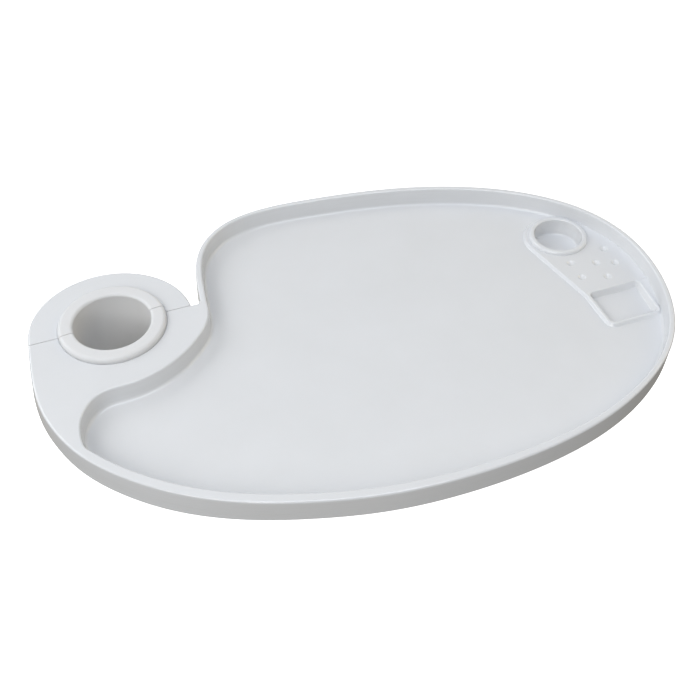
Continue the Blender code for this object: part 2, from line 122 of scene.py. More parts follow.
# Points this close are one point, and edges this short are dropped
MERGE, SLIVER = 1e-7, 1e-8

# How far a cutting solid reaches past what it cuts. A rounded profile has one more ring, up to a third of its radius
# further in, that keeps the flat beside the round flat.
OVERRUN = 0.002

# Small sizes in metres that no user would change
SKIRT_FOOT_ROUND, HUB_FOOT_ROUND = 0.0006, 0.0008  # rounds at the foot of the skirt and of the hub
WALL_BEYOND_COLLAR = 0.0008  # added to the collar's radius for the wall round it
INTO_WALL, NEAR_WALL = 0.0006, 0.0005  # how far floor pieces reach into the dish's wall, and what is still near it
UNDER_FLOOR = 0.0025  # plastic below the well and the recess
RAMP_SUNK = 0.00003  # how far the ramp's top lies below the platform and the floor
RECESS_MOUTH, RECESS_FOOT, WELL_FOOT = 0.0009, 0.0008, 0.0016  # rounds
MOUTH_ROUND, MOUTH_BACK = 0.0008, 0.0003  # the collar's mouth, and how much wider it is than the bore
RIB_DROP, RIB_WIDTH, RIB_HEIGHT, RIB_PLAY = 0.038, 0.006, 0.0022, 0.0003  # the bushing's rib, from the deck down
HOLLOW_RIB, HOLLOW_INNER_WALL, HOLLOW_OUTER_WALL, HOLLOW_ROOF = 0.0035, 0.005, 0.004, 0.006  # round the hub's hollows
CAP_BORE, SCREW_PLAY = 0.0065, 0.0004  # radius of the cap's counterbores, and play of the screws in their holes
CHAMFER, HEAD_KNURL, THREAD_DEPTH = 0.0005, 0.00012, 0.00045  # of the screws
WASHER_BORE, WASHER_RADIUS, WASHER_THICK, WASHER_EDGE, WASHER_GAP = 0.0034, 0.006, 0.0012, 0.0003, 0.0003
INSERT_BORE, INSERT_SUNK, INSERT_PLAY = 0.0034, 0.0005, 0.0003  # bore, depth below the parting and play in the hole
INSERT_KNURL, INSERT_GROOVE, INSERT_LEAD, INSERT_STEP = 0.00025, 0.0005, 0.0004, 0.0003  # along an insert's side
HEAD_RIDGES, INSERT_RIDGES = 32, 24

# Angles in degrees: the deck's ribs, half the spread of the hub's hollows, the arc of the platform's edge round the
# well, how far the bushing's split is turned, and from where on an edge stays sharp
DECK_RIB_ANGLES = (206, 228)
HOLLOW_SPREAD = 45
PLATFORM_ARC = (40, 195)
SPLIT_TURN = 4.5
SHARP_ANGLE = 35


def length(name, description, default):
    """A size in metres that a user may change."""
    return bpy.props.FloatProperty(
        name=name, description=description, default=default, min=0.0, unit="LENGTH", subtype="DISTANCE", precision=5
    )


def colour(name, description, default):
    """A colour as an sRGB hex value."""
    return bpy.props.StringProperty(name=name, description=description, default=default)


def watts(name, description, default):
    """A lamp's power in watts."""
    return bpy.props.FloatProperty(name=name, description=description, default=default, unit="POWER")


def factor(name, description, default):
    """A strength or a share."""
    return bpy.props.FloatProperty(name=name, description=description, default=default, subtype="FACTOR", max=2.0)


class TraySizes(bpy.types.PropertyGroup):
    """Sizes of the moulded tray."""

    reach: length("Reach", "From the post's axis to the far end of the rim", 0.3675)
    front: length("Front", "From the post's axis to the front of the rim", 0.1938)
    rear: length("Rear", "From the post's axis to the rear of the rim", 0.0847)
    left: length("Left", "From the post's axis to the left side of the deck", 0.0572)
    rim_width: length("Rim width", "Width of the rim's top where it is widest", 0.006)
    rim_edge: length("Rim edge", "Radius of the rim's outer edge", 0.0014)
    dish_lip: length("Dish lip", "Radius of the dish's top edge", 0.0012)
    skirt_wall: length("Skirt wall", "Thickness of the skirt", 0.0024)
    dish_wall: length("Dish wall", "Thickness of the wall between the dish and the space below the deck", 0.0046)
    notch_width: length("Notch width", "Gap between the clamp cap and the tray", 0.0075)
    notch_web: length("Notch web", "How far the notch ends short of the wall beside it", 0.0024)
    dish_depth: length("Dish depth", "Depth of the dish's floor below the deck", 0.0132)
    dish_draft: length("Dish draft", "How far the dish's wall leans in", 0.0007)
    dish_fillet: length("Dish fillet", "Radius at the foot of the dish's wall", 0.0022)
    floor: length("Floor", "Thickness of the floor and the deck", 0.003)
    rib: length("Rib", "Thickness of the ribs below the deck", 0.002)
    channel_roof: length("Channel roof", "Plastic above the channel in the rim", 0.005)


class PlatformSizes(bpy.types.PropertyGroup):
    """Sizes of the raised platform, its well, recess and dimples."""

    height: length("Height", "Height of the platform above the dish's floor", 0.0022)
    slope: length("Slope", "Run of the platform's sloped edge", 0.0018)
    edge: length("Edge", "Radius of the platform's top edge", 0.0006)
    margin: length("Margin", "Platform shown round the well's ring", 0.0027)
    well_radius: length("Well radius", "Radius of the round well", 0.0174)
    well_depth: length("Well depth", "Depth of the round well from its lip", 0.013)
    well_draft: length("Well draft", "How far the well's wall leans in", 0.0006)
    well_from_end: length("Well from end", "From the far end to the well's centre", 0.0415)
    well_forward: length("Well forward", "From the post's axis forward to the well's centre", 0.012)
    ring_height: length("Ring height", "Height of the well's lip above the platform", 0.0023)
    ring_wall: length("Ring wall", "Width of the well's lip", 0.0040)
    ring_lip: length("Ring lip", "Radius of the lip's inner edge", 0.0009)
    ring_slope: length("Ring slope", "Width of the lip's rounded outer side", 0.0017)
    recess_width: length("Recess width", "Width of the rectangular recess", 0.037)
    recess_length: length("Recess length", "Length of the rectangular recess", 0.0305)
    recess_depth: length("Recess depth", "Depth of the recess below the platform", 0.005)
    recess_draft: length("Recess draft", "How far the recess's walls lean in", 0.0012)
    recess_corner: length("Recess corner", "Radius of the recess's corners", 0.003)
    recess_forward: length("Recess forward", "From the post's axis forward to the recess's centre", 0.0893)
    recess_from_end: length("Recess from end", "From the far end to the recess's centre", 0.0325)
    recess_lip: length("Recess lip", "Platform shown round the recess", 0.0025)
    dimple_radius: length("Dimple radius", "Radius of each dimple", 0.0031)
    dimple_depth: length("Dimple depth", "Depth of each dimple", 0.0012)
    dimple_pitch: length("Dimple pitch", "From one dimple of a column to the next", 0.016)
    dimple_forward: length("Dimple forward", "From the post's axis forward to the dimples", 0.0493)


class ClampSizes(bpy.types.PropertyGroup):
    """Sizes of the collar, cap, bushing and screws."""

    bushing_radius: length("Bushing radius", "Outer radius of the bushing", 0.035)
    bushing_wall: length("Bushing wall", "Thickness of the bushing", 0.0096)
    bushing_proud: length("Bushing proud", "Height of the bushing above the deck", max(BUSHING_HIGH.z, 0.0))
    bushing_shoulder: length("Bushing shoulder", "Radius of the bushing's outer top edge", 0.0027)
    bushing_edge: length("Bushing edge", "Radius of the bushing's inner top edge", 0.002)
    bushing_split: length("Bushing split", "Gap between the bushing's halves", 0.0005)
    swivel_gap: length("Swivel gap", "Gap between bushing and collar", 0.0005)
    collar_wall: length("Collar wall", "Thickness of the collar", 0.018)
    collar_edge: length("Collar edge", "Radius of the cap's top edge", 0.0015)
    cap_short: length("Cap short", "How much less the cap reaches to the rear than a circle", 0.0011)
    cap_left: length("Cap left", "How much further the collar reaches to the left than a circle", 0.0013)
    cap_right: length("Cap right", "How much less the collar reaches to the right than a circle", 0.0006)
    groove_width: length("Groove width", "Width of the groove round the bushing's top", 0.0004)
    groove_depth: length("Groove depth", "Depth of the groove round the bushing's top", 0.0005)
    hub_depth: length("Hub depth", "Depth of the hub below the deck", max(-BUSHING_LOW.z, 0.0))
    parting_gap: length("Parting gap", "Gap between collar and cap", 0.0005)
    screw_radius: length("Screw radius", "Outer radius of the screw's thread", 0.003)
    screw_length: length("Screw length", "Length of the screw below its head", 0.025)
    screw_drop: length("Screw drop", "Depth of the screws below the deck", 0.020)
    head_radius: length("Head radius", "Radius of the screw's head", 0.005)
    head_height: length("Head height", "Height of the screw's head", 0.006)
    socket_across: length("Socket across", "Width across the flats of the screw's socket", 0.005)
    socket_depth: length("Socket depth", "Depth of the screw's socket", 0.003)
    thread_pitch: length("Thread pitch", "Pitch of the screw's thread", 0.001)
    insert_radius: length("Insert radius", "Outer radius of the threaded insert", 0.004)
    insert_length: length("Insert length", "Length of the threaded insert", 0.0115)
    cap_seat: length("Cap seat", "From the parting line to the washer's seat", 0.0127)


class FinishColours(bpy.types.PropertyGroup):
    """Colours of the finishes as sRGB hex values."""

    plastic: colour("Moulded plastic", "Cool off-white of the tray and cap", "#DEE0E3")
    plastic_shade: colour("Moulded plastic, flow marks", "Slightly duller tone of the flow marks", "#D8DADC")
    bearing: colour("Bearing plastic", "Off-white of the bushing", "#DADBDC")
    zinc: colour("Zinc plating", "Bluish grey of the plated screws", "#B9BEC4")
    zinc_shade: colour("Zinc plating, shade", "Darker clouds in the plating", "#A6ACB3")
    brass: colour("Brass", "Yellow of the threaded inserts", "#C9A659")
    brass_shade: colour("Brass, shade", "Darker clouds in the brass", "#B8924A")
    floor: colour("Studio floor", "White of the floor below", "#FCFCFC")


class StudioSettings(bpy.types.PropertyGroup):
    """Camera and light of the studio."""

    camera_place: bpy.props.FloatVectorProperty(
        name="Camera place", description="Where the camera stands", default=(-0.0201, -0.4947, 0.4595), subtype="XYZ"
    )
    camera_aim: bpy.props.FloatVectorProperty(
        name="Camera aim", description="Direction in which it looks", default=(0.2463, 0.6522, -0.7169), subtype="XYZ"
    )
    lens: bpy.props.FloatProperty(name="Lens", description="Focal length in millimetres", default=51.43, min=1.0)
    top_power: watts("Top light", "Power of the large light overhead", 10.1)
    left_power: watts("Left light", "Power of the light at the left", 3.2)
    front_power: watts("Front light", "Power of the light at the front left", 9.6)
    right_power: watts("Right light", "Power of the light at the right", 4.6)
    rear_power: watts("Rear light", "Power of the light at the rear left", 7.0)
    sky: factor("Sky", "Strength of the even light from above", 0.10)
    sky_rear: factor("Sky at the rear", "How much stronger it is at the rear", 0.35)
    ground: factor("Ground", "Strength of the even light from below", 0.54)
    ground_fall: factor("Ground fall", "Share the light from below loses at the sides", 0.9)
    glow_rear: factor("Glow at the rear", "Strength of the low light behind the tray", 0.6)
    glow_side: factor("Glow at the sides", "Strength of the low light at both sides", 0.5)


GROUPS = (
    ("tray_sizes", TraySizes),
    ("platform_sizes", PlatformSizes),
    ("clamp_sizes", ClampSizes),
    ("finish_colours", FinishColours),
    ("studio_settings", StudioSettings),
)


def sizes():
    """The tray's sizes, the platform's and the clamp's."""
    scene = bpy.context.scene
    return scene.tray_sizes, scene.platform_sizes, scene.clamp_sizes


# Curves


def spline(points, count):
    """Points spread evenly along the natural cubic spline through the given points.

    Between two points the curve is a cubic whose bend runs straight from one point's bend to the next, and the bends
    come from one linear system that makes the slopes meet.
    """
    points = np.asarray(points, float)
    knots = np.concatenate(([0.0], np.cumsum(np.linalg.norm(np.diff(points, axis=0), axis=1))))
    gaps = np.diff(knots)
    size = len(points)
    inner = np.arange(1, size - 1)
    system = np.eye(size)
    system[inner, inner - 1] = gaps[:-1]
    system[inner, inner] = 2 * (gaps[:-1] + gaps[1:])
    system[inner, inner + 1] = gaps[1:]
    slopes = np.diff(points, axis=0) / gaps[:, None]
    target = np.zeros((size, points.shape[1]))
    target[1:-1] = 6 * np.diff(slopes, axis=0)
    bend = np.linalg.solve(system, target)

    def at(where):
        span = np.clip(np.searchsorted(knots, where) - 1, 0, size - 2)
        gap = gaps[span][:, None]
        after = (knots[span + 1] - where)[:, None]
        before = (where - knots[span])[:, None]
        cubic = (bend[span] * after ** 3 + bend[span + 1] * before ** 3) / (6 * gap)
        from_start = (points[span] / gap - bend[span] * gap / 6) * after
        from_end = (points[span + 1] / gap - bend[span + 1] * gap / 6) * before
        return cubic + from_start + from_end

    fine = np.linspace(0, knots[-1], 20 * count)
    run = np.concatenate(([0.0], np.cumsum(np.linalg.norm(np.diff(at(fine), axis=0), axis=1))))
    return at(np.interp(np.linspace(0, run[-1], count), run, fine))


def outward(points, closed):
    """Unit normals that point out of a line of plan points which runs anticlockwise: its direction, turned right."""
    if closed:
        along = np.roll(points, -1, axis=0) - np.roll(points, 1, axis=0)
    else:
        along = np.gradient(points, axis=0)
    across = np.stack((along[:, 1], -along[:, 0]), axis=1)
    return across / np.linalg.norm(across, axis=1)[:, None]


def finer(points, closed):
    """The same line with points PATH_STEP apart, picked from a spline through its points that is four times finer.

    A closed line is drawn with some of its own points again at both ends, and cut where it comes back to its start.
    """
    lap, between = 12, 4
    if closed:
        points = np.concatenate((points[-lap:], points, points[:lap + 1]))
    total = np.linalg.norm(np.diff(points, axis=0), axis=1).sum()
    line = spline(points, int(total / PATH_STEP) * between)
    if not closed:
        return line[np.linspace(0, len(line) - 1, len(line) // between).round().astype(int)]
    half = len(line) // 2
    apart = np.linalg.norm(line - points[lap], axis=1)
    start, end = np.argmin(apart[:half]), half + np.argmin(apart[half:])
    return line[np.linspace(start, end, (end - start) // between + 1).round().astype(int)[:-1]]


def tray_edge(tray, clamp):
    """The rim's outer edge, from the collar round to the notch, evenly in COARSE_POINTS points."""
    radius = collar_radius(clamp)
    shares = np.array(OUTLINE_SHARES)
    reaches = np.stack(
        (np.where(shares[:, 0] > 0, tray.reach, tray.left), np.where(shares[:, 1] > 0, tray.rear, tray.front)), axis=1
    )
    points = np.vstack(((-radius, OVERRUN), shares * reaches, (radius + tray.notch_width, OVERRUN)))
    line = spline(points, COARSE_POINTS)
    return line + edge_normals(line) * eased(EDGE_SHIFTS, line)


def edge_normals(edge):
    """Normals of the tray's edge, with both ends turned to the left, along the parting line."""
    normals = outward(edge, False)
    normals[0] = normals[-1] = (-1, 0)
    return normals


def eased(stops, edge):
    """Millimetre values between stops along the tray's edge, as metres: a smooth spline through the stops."""
    line = spline(np.array(stops) * (1, 0.001), EASED_POINTS)
    return np.interp(np.linspace(0, 1, len(edge)), *line.T)[:, None]


def rim_widths(tray, edge):
    """The rim's width along the tray's edge: widest in front and narrowest at the far end."""
    return eased(RIM_WIDTHS, edge) * (tray.rim_width / DRAWN_RIM_WIDTH)


def dish_edge(edge, tray, clamp):
    """The dish's top edge: the rim's inner edge, then the wall round the collar back to the front rim."""
    first = round(RIM_START * (len(edge) - 1))
    rim = (edge - edge_normals(edge) * rim_widths(tray, edge))[first:]
    collar = np.array(COLLAR_WALL_SHARES) * (collar_radius(clamp) + WALL_BEYOND_COLLAR)
    tip = collar[-1] + (rim[0] - collar[-1]) * np.array(TIP_WALL_SHARES)
    line = spline(np.vstack((rim[-3], rim[-1], collar, tip, rim[0], rim[2])), COARSE_WALL_POINTS * 4)
    from_rim = np.argmin(np.linalg.norm(line - rim[-1], axis=1))
    to_rim = np.argmin(np.linalg.norm(line - rim[0], axis=1))
    picks = np.linspace(from_rim, to_rim, COARSE_WALL_POINTS + 1).round().astype(int)[1:-1]
    return np.concatenate((rim, line[picks]))


def collar_radius(clamp):
    """The collar's outer radius."""
    return clamp.bushing_radius + clamp.swivel_gap + clamp.collar_wall


def collar_line(clamp):
    """The collar's outline, anticlockwise: an ellipse that is flatter at the rear and lies a little to the left."""
    radius = collar_radius(clamp)
    cosine, sine = rays(full_turn(TURN_STEPS)).T
    ahead = np.where(sine > 0, radius - clamp.cap_short, radius)
    x = radius * cosine - clamp.cap_left * (1 - cosine) / 2 - clamp.cap_right * (1 + cosine) / 2
    return np.column_stack((x, ahead * sine))


def screw_offset(clamp):
    """How far each screw is from the post's axis."""
    return clamp.bushing_radius + clamp.swivel_gap + clamp.collar_wall / 2


# Surfaces


def full_turn(steps):
    """Angles of a full turn in even steps."""
    return np.linspace(0, 2 * math.pi, steps, endpoint=False)


def rays(angles):
    """Unit directions in the plan: (cosine, sine) of each angle."""
    return np.stack((np.cos(angles), np.sin(angles)), axis=-1)


def quarter(steps=ROUND_STEPS):
    """Shares (across, down) of a quarter round that starts level and ends upright: 1 - sine, then 1 - cosine."""
    angles = np.linspace(0, math.pi / 2, steps)
    return np.stack((1 - np.sin(angles), 1 - np.cos(angles)), axis=1)


def top_round(x, z, out, up, steps=ROUND_STEPS):
    """A quarter round in the corner (x, z) that starts level and ends upright: the corner plus sizes x shares."""
    return [(x + out * across, z + up * down) for across, down in quarter(steps)]


def foot_round(x, z, out, up, steps=ROUND_STEPS):
    """A quarter round in the corner (x, z) that starts upright and ends level: the corner plus sizes x shares."""
    return [(x + out * down, z + up * across) for across, down in quarter(steps)]


def grid_faces(rows, columns, meet=False):
    """Quads between neighbouring points of a grid whose rows are rings; its first and last row may meet."""
    row = np.arange(rows if meet else rows - 1)[:, None]
    column = np.arange(columns)[None, :]
    below, beside = (row + 1) % rows, (column + 1) % columns
    quads = np.stack(
        (row * columns + column, row * columns + beside, below * columns + beside, below * columns + column), axis=-1
    )
    return quads.reshape(-1, 4).tolist()


def linked(name, data):
    """A new object in the scene."""
    obj = bpy.data.objects.new(name, data)
    bpy.context.scene.collection.objects.link(obj)
    return obj


def shell(name, grid, ends="capped"):
    """A closed solid from a grid of points whose rows are rings: its end rings are capped, meet or are poles."""
    rows, columns = grid.shape[:2]
    faces = grid_faces(rows, columns, ends == "meet")
    if ends == "capped":
        faces += [list(range(columns)), list(range((rows - 1) * columns, rows * columns))]
    mesh = bpy.data.meshes.new(name)
    mesh.from_pydata(grid.reshape(-1, 3).tolist(), [], faces)
    solid = bmesh.new()
    solid.from_mesh(mesh)
    bmesh.ops.remove_doubles(solid, verts=solid.verts, dist=MERGE)
    if ends == "capped":
        bmesh.ops.dissolve_degenerate(solid, edges=solid.edges, dist=SLIVER)
        bmesh.ops.triangulate(solid, faces=[face for face in solid.faces if len(face.verts) == 4])
    bmesh.ops.recalc_face_normals(solid, faces=solid.faces)
    solid.to_mesh(mesh)
    solid.free()
    return linked(name, mesh)


def carried(name, path, normals, profile):
    """A solid whose profile is carried along a plan path: each point is path + normal x out, at the given height."""
    profile = np.asarray(profile, float)
    if profile.ndim == 2:
        profile = np.repeat(profile[:, None, :], len(path), axis=1)
    plan = path[None] + normals[None] * profile[..., :1]
    return shell(name, np.concatenate((plan, profile[..., 1:]), axis=2))


def spun(radii, heights, steps):
    """A grid of rings about Z: each point is its radius x (cosine, sine) of its angle, at its ring's height."""
    plan = np.asarray(radii)[..., None] * rays(full_turn(steps))
    return np.concatenate((plan, np.repeat(heights, steps, axis=1)[..., None]), axis=2)


def turned(name, profile, steps=TURN_STEPS, centre=(0, 0, 0)):
    """A profile of (radius, height) turned about Z.

    A profile that starts and ends on the axis closes there; any other meets its own start again.
    """
    profile = np.asarray(profile, float)
    grid = spun(profile[:, :1], profile[:, 1:], steps) + np.array(centre)
    return shell(name, grid, "meet" if profile[:, 0].min() > 0 else "poles")


def dented(name, rows, ends):
    """A solid turned about Z from rows of (radius, height, dents): each ring's radius is less by its dents."""
    radii = np.array([radius - dents for radius, _, dents in rows])
    heights = np.array([[height] for _, height, _ in rows])
    return shell(name, spun(radii, heights, FINE_TURN_STEPS), ends)


def level(points, height):
    """Plan points at one height."""
    return np.column_stack((points, np.full(len(points), height)))


def prism(name, points, high, low):
    """A solid between two heights over a plan outline."""
    return shell(name, np.stack((level(points, high), level(points, low))))


def block(name, low, high, turn=0.0):
    """A cutting block between two corners, turned about Z."""
    xs, ys = (low[0], high[0], high[0], low[0]), (low[1], low[1], high[1], high[1])
    c, s = math.cos(turn), math.sin(turn)
    plan = np.array([(x * c - y * s, x * s + y * c) for x, y in zip(xs, ys)])
    return prism(name, plan, high[2], low[2])


def on_screw_axis(obj, side, clamp, back=0.0):
    """Lay a solid made about Z along a screw's axis, its top to the rear, and move it back."""
    mesh = obj.data
    points = np.empty(len(mesh.vertices) * 3)
    mesh.vertices.foreach_get("co", points)
    points = points.reshape(-1, 3)
    x = side * screw_offset(clamp)
    laid = np.stack((points[:, 0] + x, points[:, 2] + back, -points[:, 1] - clamp.screw_drop), axis=1)
    mesh.vertices.foreach_set("co", laid.ravel())
    mesh.update()
    return obj


def combine(obj, operation, others):
    """Join or cut an object with others, one after another, and keep the result as its own mesh."""
    for other in others:
        step = obj.modifiers.new(other.name, "BOOLEAN")
        step.operation = operation
        step.solver = "EXACT"
        step.object = other
    bpy.context.view_layer.update()
    evaluated = obj.evaluated_get(bpy.context.evaluated_depsgraph_get())
    made = bpy.data.meshes.new_from_object(evaluated)
    obj.modifiers.clear()
    old = obj.data
    obj.data = made
    made.name = obj.name
    bpy.data.meshes.remove(old)
    for other in others:
        bpy.data.objects.remove(other, do_unlink=True)
    return obj


def finish_piece(obj, material, body, nodes):
    """Shade a finished piece, give it its material and tie it to its body and the nodes it replaces."""
    obj.data.materials.clear()
    obj.data.materials.append(material)
    obj.data.shade_smooth()
    obj.data.set_sharp_from_angle(angle=math.radians(SHARP_ANGLE))
    even = obj.modifiers.new("even_normals", "WEIGHTED_NORMAL")
    even.mode = "FACE_AREA"
    even.weight = 60
    even.keep_sharp = True
    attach(obj, body)
    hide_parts(*nodes)
    return obj


# Materials


def linear(hex_value):
    """An sRGB hex value as a linear colour: below 0.04045 divided by 12.92, above it a power of 2.4."""
    values = np.array([int(hex_value[i:i + 2], 16) for i in (1, 3, 5)]) / 255
    out = np.where(values <= 0.04045, values / 12.92, ((values + 0.055) / 1.055) ** 2.4)
    return (*out.tolist(), 1.0)


def fill(node, inputs):
    """Set or link a node's inputs."""
    for name, value in inputs.items():
        if isinstance(value, bpy.types.NodeSocket):
            node.id_data.links.new(value, node.inputs[name])
        else:
            node.inputs[name].default_value = value


def add_node(tree, kind, inputs=None, **fields):
    """Add a node, set its fields, and set or link its inputs."""
    node = tree.nodes.new(kind)
    for name, value in fields.items():
        setattr(node, name, value)
    fill(node, inputs or {})
    return node


def new_material(name, constants):
    """A material, its Principled shader with these constant values, and where its patterns lie on the object."""
    mat = bpy.data.materials.new(name)
    mat.use_nodes = True
    shader = mat.node_tree.nodes["Principled BSDF"]
    fill(shader, constants)
    return mat, mat.node_tree, shader, add_node(mat.node_tree, "ShaderNodeTexCoord").outputs["Object"]


def per_metre(millimetres):
    """The noise scale that gives features of about this size."""
    return 1000 / millimetres


def moulded_abs(name, light, dull):
    """Injection-moulded ABS, satin from a finely blasted mould.

    The eye sees a soft, slightly wavy sheen, faint flow marks along the skirt and a fine grain. The flow marks are
    noise of 40 mm, pressed to a 36th of its height. The grain is drawn at 1.1 mm, coarser than the real 0.2 mm,
    because it would not show otherwise.
    """
    mat, tree, shader, place = new_material(name, {
        "IOR": 1.53,
        "Specular IOR Level": 0.5,
        "Subsurface Weight": 0.06,
        "Subsurface Radius": (0.0025, 0.0022, 0.002),
        "Subsurface Scale": 1.0,
    })
    pressed = add_node(tree, "ShaderNodeMapping", {"Vector": place, "Scale": (1, 1, 36)}).outputs["Vector"]
    flow, cloud, grain = (
        add_node(
            tree,
            "ShaderNodeTexNoise",
            {"Vector": vector, "Scale": per_metre(size), "Detail": detail, "Roughness": roughness},
        ).outputs["Fac"]
        for vector, size, detail, roughness in ((pressed, 40, 4.0, 0.6), (place, 60, 3.0, 0.5), (place, 1.1, 3.0, 0.6))
    )
    tone = add_node(tree, "ShaderNodeMix", {"Factor": flow, "A": linear(dull), "B": linear(light)}, data_type="RGBA")
    reach = {"From Min": 0.3, "From Max": 0.7, "To Min": 0.11, "To Max": 0.17}
    rough = add_node(tree, "ShaderNodeMapRange", {"Value": cloud, **reach})
    waves = add_node(tree, "ShaderNodeBump", {"Height": flow, "Strength": 0.25, "Distance": 0.0002}).outputs["Normal"]
    skin = add_node(
        tree, "ShaderNodeBump", {"Height": grain, "Strength": 0.12, "Distance": 0.00006, "Normal": waves}
    )
    fill(shader, {
        "Base Color": tone.outputs["Result"], "Roughness": rough.outputs["Result"], "Normal": skin.outputs["Normal"]
    })
    return mat


def turned_acetal(name, light):
    """Acetal turned on a lathe, a touch duller than the tray, with fine rings from the tool.

    The rings are drawn 5 mm apart, coarser than the real 0.15 mm feed, so that they show. A wave pattern repeats
    after 0.314 of its size, which is 16 mm.
    """
    mat, tree, shader, place = new_material(name, {
        "Base Color": linear(light),
        "IOR": 1.48,
        "Specular IOR Level": 0.5,
        "Subsurface Weight": 0.08,
        "Subsurface Radius": (0.002, 0.0018, 0.0016),
        "Subsurface Scale": 1.0,
    })
    rings = add_node(
        tree,
        "ShaderNodeTexWave",
        {"Vector": place, "Scale": per_metre(16), "Distortion": 0.6, "Detail": 2.0, "Detail Scale": 2.0},
        wave_type="RINGS",
        rings_direction="Z",
    ).outputs["Fac"]
    cloud = add_node(tree, "ShaderNodeTexNoise", {"Vector": place, "Scale": per_metre(9), "Detail": 4.0})
    reach = {"From Min": 0.3, "From Max": 0.7, "To Min": 0.36, "To Max": 0.46}
    rough = add_node(tree, "ShaderNodeMapRange", {"Value": cloud.outputs["Fac"], **reach})
    skin = add_node(tree, "ShaderNodeBump", {"Height": rings, "Strength": 0.1, "Distance": 0.00005})
    fill(shader, {"Roughness": rough.outputs["Result"], "Normal": skin.outputs["Normal"]})
    return mat


def plated_metal(name, tint, shade, roughness, spot):
    """Machined metal, plated or bare. The eye sees a cloudy sheen and fine tool marks.

    The clouds are noise of 4 mm. The marks are noise of a size given in millimetres, pressed to a sixth along Y, which
    is the screws' axis, so that they run round it.
    """
    mat, tree, shader, place = new_material(name, {"Metallic": 1.0})
    pressed = add_node(tree, "ShaderNodeMapping", {"Vector": place, "Scale": (1, 6, 1)}).outputs["Vector"]
    marks, cloud = (
        add_node(
            tree, "ShaderNodeTexNoise", {"Vector": vector, "Scale": per_metre(size), "Detail": detail}
        ).outputs["Fac"]
        for vector, size, detail in ((pressed, spot, 5.0), (place, 4, 3.0))
    )
    tone = add_node(tree, "ShaderNodeMix", {"Factor": cloud, "A": linear(shade), "B": linear(tint)}, data_type="RGBA")
    reach = {"From Min": 0.3, "From Max": 0.7, "To Min": roughness, "To Max": roughness + 0.12}
    rough = add_node(tree, "ShaderNodeMapRange", {"Value": marks, **reach})
    skin = add_node(tree, "ShaderNodeBump", {"Height": marks, "Strength": 0.2, "Distance": 0.00003})
    fill(shader, {
        "Base Color": tone.outputs["Result"], "Roughness": rough.outputs["Result"], "Normal": skin.outputs["Normal"]
    })
    return mat


def studio_white(name, tone):
    """Plain matt white paper with faint mottling, lit from itself so that it stays white."""
    white = linear("#FFFFFF")
    mat, tree, shader, place = new_material(
        name, {"Roughness": 0.9, "Emission Color": white, "Emission Strength": 1.0}
    )
    cloud = add_node(tree, "ShaderNodeTexNoise", {"Vector": place, "Scale": per_metre(120), "Detail": 2.0})
    mottle = {"Factor": cloud.outputs["Fac"], "A": linear(tone), "B": white}
    mix = add_node(tree, "ShaderNodeMix", mottle, data_type="RGBA")
    fill(shader, {"Base Color": mix.outputs["Result"]})
    return mat


# Pieces


def tray_solid(edge, tray):
    """The tray's outside: rounded rim edge and a skirt that flares to a small round at its foot."""
    normals = edge_normals(edge)
    edge_round = np.minimum(tray.rim_edge, rim_widths(tray, edge) - tray.dish_lip)[:, 0]
    height = tray.dish_depth + tray.floor
    flare = eased(SKIRT_FLARES, edge)[:, 0]
    rings = [(-edge_round - OVERRUN / 10, 0)] + top_round(0, 0, -edge_round, -edge_round)
    rings += [(flare * share, -height * share) for share in (0.25, 0.5, 0.75)]
    rings += [(flare - SKIRT_FOOT_ROUND * across, SKIRT_FOOT_ROUND * down - height) for across, down in 1 - quarter(4)]
    profile = [np.column_stack(np.broadcast_arrays(out, up, edge_round)[:2]) for out, up in rings]
    return carried("tray_moulding", edge, normals, profile)


def dish_space(dish, tray):
    """The dish: rounded top edge, leaning wall, fillet at the foot and a flat floor."""
    lip, fillet, draft = tray.dish_lip, tray.dish_fillet, tray.dish_draft
    profile = [(lip, OVERRUN)] + top_round(0, 0, lip, -lip)
    profile += [(-draft * share, -lip - (tray.dish_depth - fillet - lip) * share) for share in (0.33, 0.67)]
    profile += foot_round(-draft, -tray.dish_depth, -fillet, fillet)
    profile.append((-draft - fillet - OVERRUN / 10, -tray.dish_depth))
    return carried("dish_space", dish, outward(dish, True), profile)


def hub_foot(clamp):
    """The rounded edge of the hub's foot, on the tray and on the cap: three points of (out, height)."""
    low = -clamp.hub_depth
    return [(0, low + HUB_FOOT_ROUND), (-HUB_FOOT_ROUND * 0.3, low + HUB_FOOT_ROUND * 0.3), (-HUB_FOOT_ROUND, low)]


def behind_parting(name, tray, clamp, turn=0.0):
    """A block over everything behind a vertical plane that passes the post's axis at half the parting gap."""
    left = -collar_radius(clamp) - OVERRUN
    right = collar_radius(clamp) + tray.notch_width - tray.notch_web
    low = -clamp.hub_depth - OVERRUN
    reach = collar_radius(clamp) + OVERRUN
    high = clamp.bushing_proud + OVERRUN
    return block(name, (left, -clamp.parting_gap / 2, low), (right, reach, high), turn)


def collar_opening(clamp):
    """The space for the bushing, with a rounded mouth and the groove that holds the bushing's rib."""
    bore = clamp.bushing_radius + clamp.swivel_gap
    groove = clamp.bushing_radius + RIB_HEIGHT + clamp.swivel_gap
    half = RIB_WIDTH / 2 + RIB_PLAY
    bottom = -clamp.hub_depth - OVERRUN
    top = bore + MOUTH_BACK
    profile = [(0, OVERRUN), (top + MOUTH_ROUND, OVERRUN)]
    profile += top_round(top, 0, MOUTH_ROUND, -clamp.groove_depth, 6)
    profile += [(bore, -clamp.groove_depth), (bore, -RIB_DROP + half), (groove, -RIB_DROP + half)]
    profile += [(groove, -RIB_DROP - half), (bore, -RIB_DROP - half), (bore, bottom), (0, bottom)]
    return turned("collar_opening", profile)


